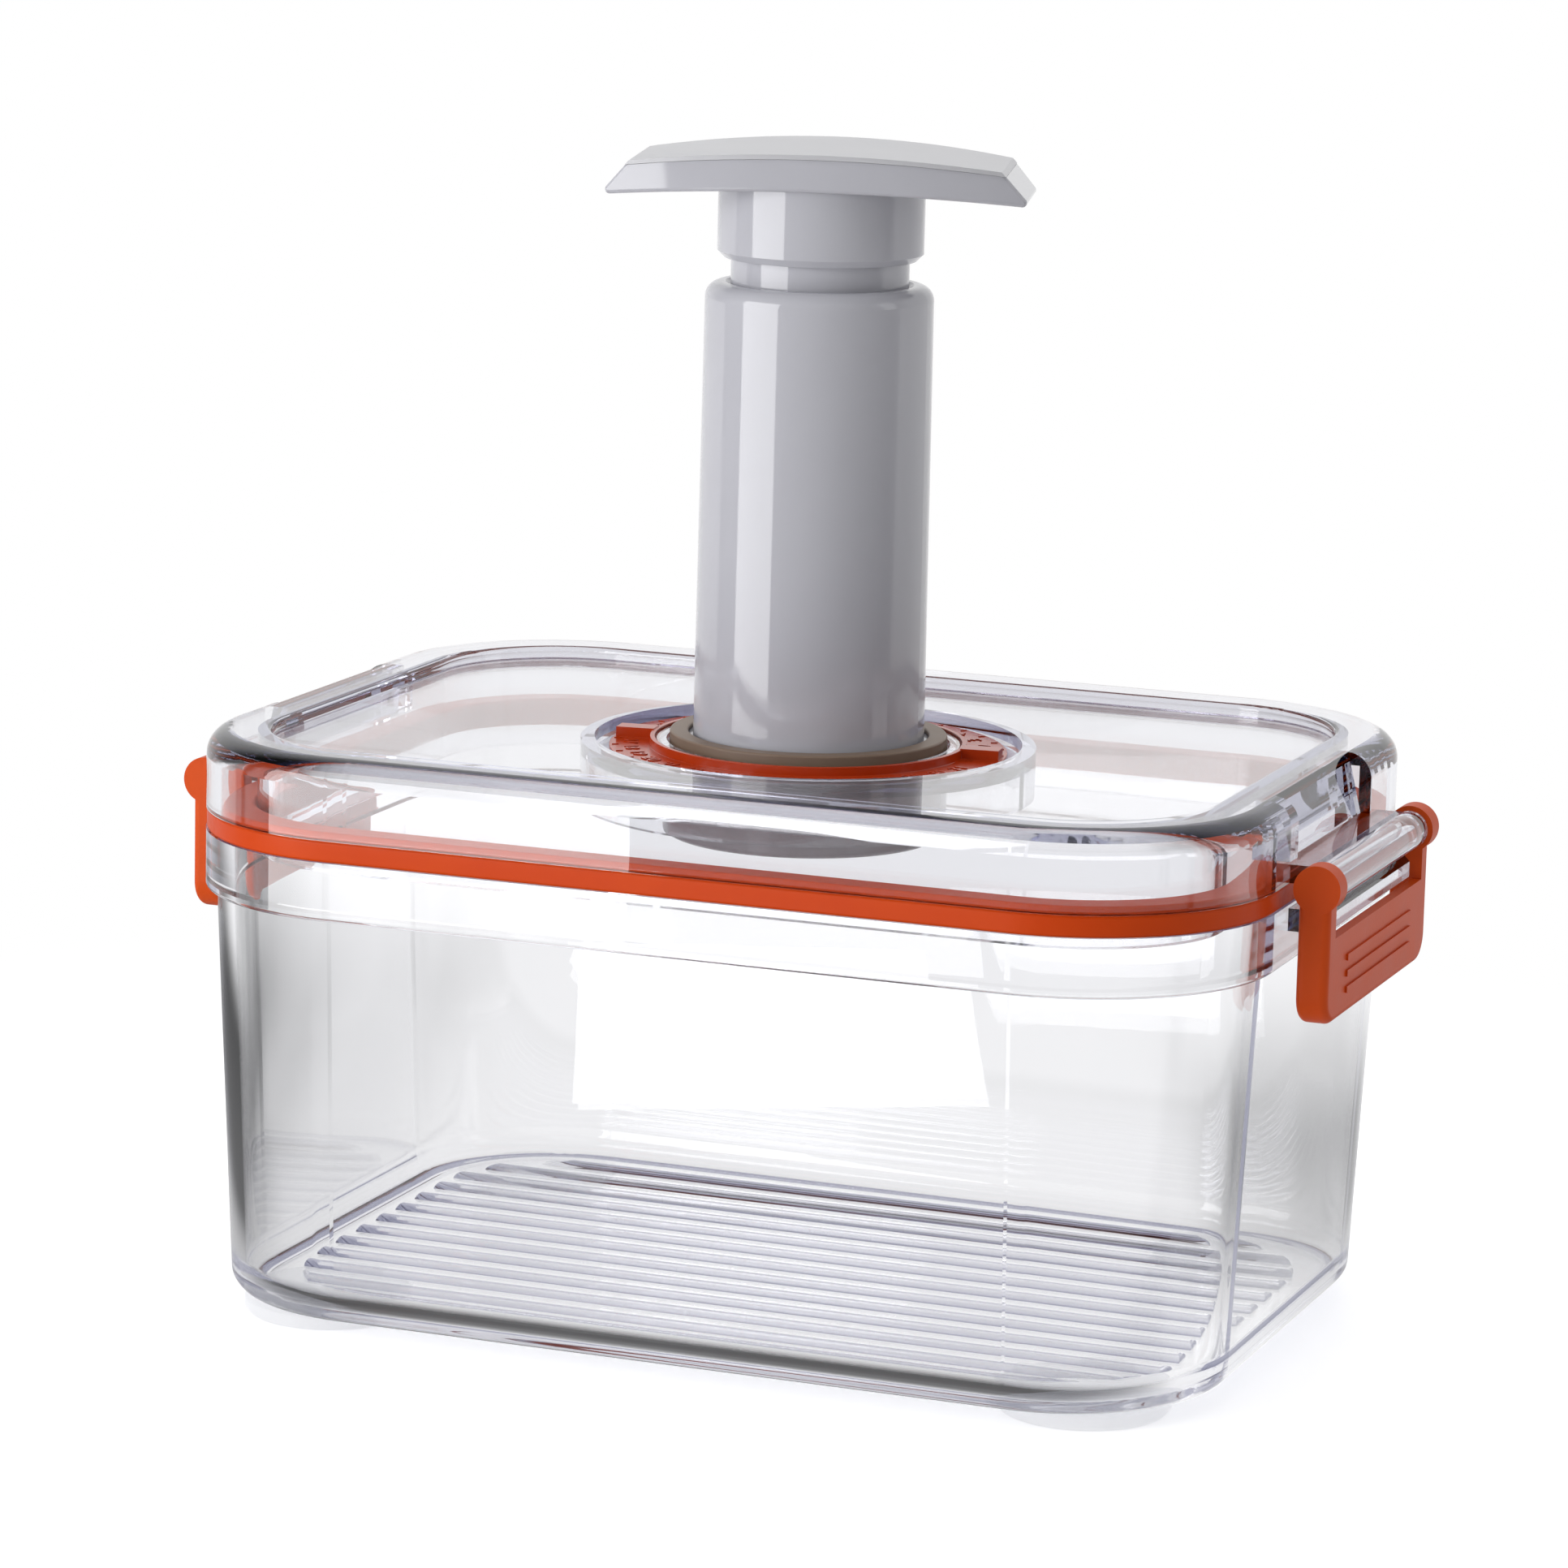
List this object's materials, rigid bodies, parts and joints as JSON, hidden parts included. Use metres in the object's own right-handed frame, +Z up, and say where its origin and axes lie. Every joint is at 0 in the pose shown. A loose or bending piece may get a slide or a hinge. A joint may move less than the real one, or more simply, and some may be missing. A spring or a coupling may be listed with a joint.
{
  "type": "vacuum seal canister",
  "caption": "Clear rectangular food canister with a clip-on lid, an orange seal, a date dial in the lid's well and a hand vacuum pump standing on it.",
  "frame": {"origin": "on the ground under the middle of the tub, on the pump's axis", "axes": "+Z up along the pump, +X along the long side, -Y towards the front"},
  "size_m": [0.2138, 0.1408, 0.2055],
  "materials": {
    "clear_plastic": "clear moulded plastic, glossy",
    "clear_silicone": "clear soft pad",
    "orange_silicone": "satin silicone",
    "orange_plastic": "satin moulded plastic",
    "white_silicone": "satin silicone",
    "grey_plastic": "glossy moulded plastic",
    "pale_plastic": "fine matte moulded plastic",
    "taupe_silicone": "satin silicone",
    "smoke_plastic": "dark smoke grey moulded plastic, glossy",
    "steel": "zinc plated"
  },
  "bodies": {
    "tub": {"tub": "clear_plastic", "foot_front_left": "clear_silicone", "foot_front_right": "clear_silicone", "foot_back_left": "clear_silicone", "foot_back_right": "clear_silicone"},
    "lid": {"lid": "clear_plastic", "lid_gasket": "orange_silicone", "valve_cage": "smoke_plastic"},
    "clip_left": {"clip_left": "orange_plastic"},
    "clip_right": {"clip_right": "orange_plastic"},
    "date_dial": {"date_dial": "orange_plastic"},
    "vent_valve": {"vent_valve": "white_silicone"},
    "pump": {"pump_barrel": "grey_plastic", "pump_base": "grey_plastic", "pump_foot_seal": "taupe_silicone"},
    "inlet_valve": {"inlet_valve": "white_silicone"},
    "plunger": {"plunger_rod": "grey_plastic", "piston": "grey_plastic", "piston_seal": "taupe_silicone", "handle": "grey_plastic", "handle_cover": "pale_plastic", "handle_screws": "steel"}
  },
  "joints": [
    {"name": "lid_lift", "type": "slide", "parent": "tub", "child": "lid", "axis": [0, 0, 1], "range_m": [0, 0.06]},
    {"name": "clip_left_hinge", "type": "hinge", "parent": "lid", "child": "clip_left", "pos_m": [-0.1028, 0, 0.0894], "axis": [0, 1, 0], "range_deg": [-8, 115]},
    {"name": "clip_right_hinge", "type": "hinge", "parent": "lid", "child": "clip_right", "pos_m": [0.1028, 0, 0.0894], "axis": [0, -1, 0], "range_deg": [-8, 115]},
    {"name": "dial_turn", "type": "hinge", "parent": "lid", "child": "date_dial", "pos_m": [0, 0, 0.098], "axis": [0, 0, 1], "continuous": true},
    {"name": "vent_valve_lift", "type": "slide", "parent": "lid", "child": "vent_valve", "axis": [0, 0, 1], "range_m": [0, 0.0015]},
    {"name": "pump_lift", "type": "slide", "parent": "lid", "child": "pump", "axis": [0, 0, 1], "range_m": [0, 0.06]},
    {"name": "inlet_valve_lift", "type": "slide", "parent": "pump", "child": "inlet_valve", "axis": [0, 0, 1], "range_m": [0, 0.001]},
    {"name": "plunger_stroke", "type": "slide", "parent": "pump", "child": "plunger", "axis": [0, 0, 1], "range_m": [-0.004, 0.05]}
  ]
}
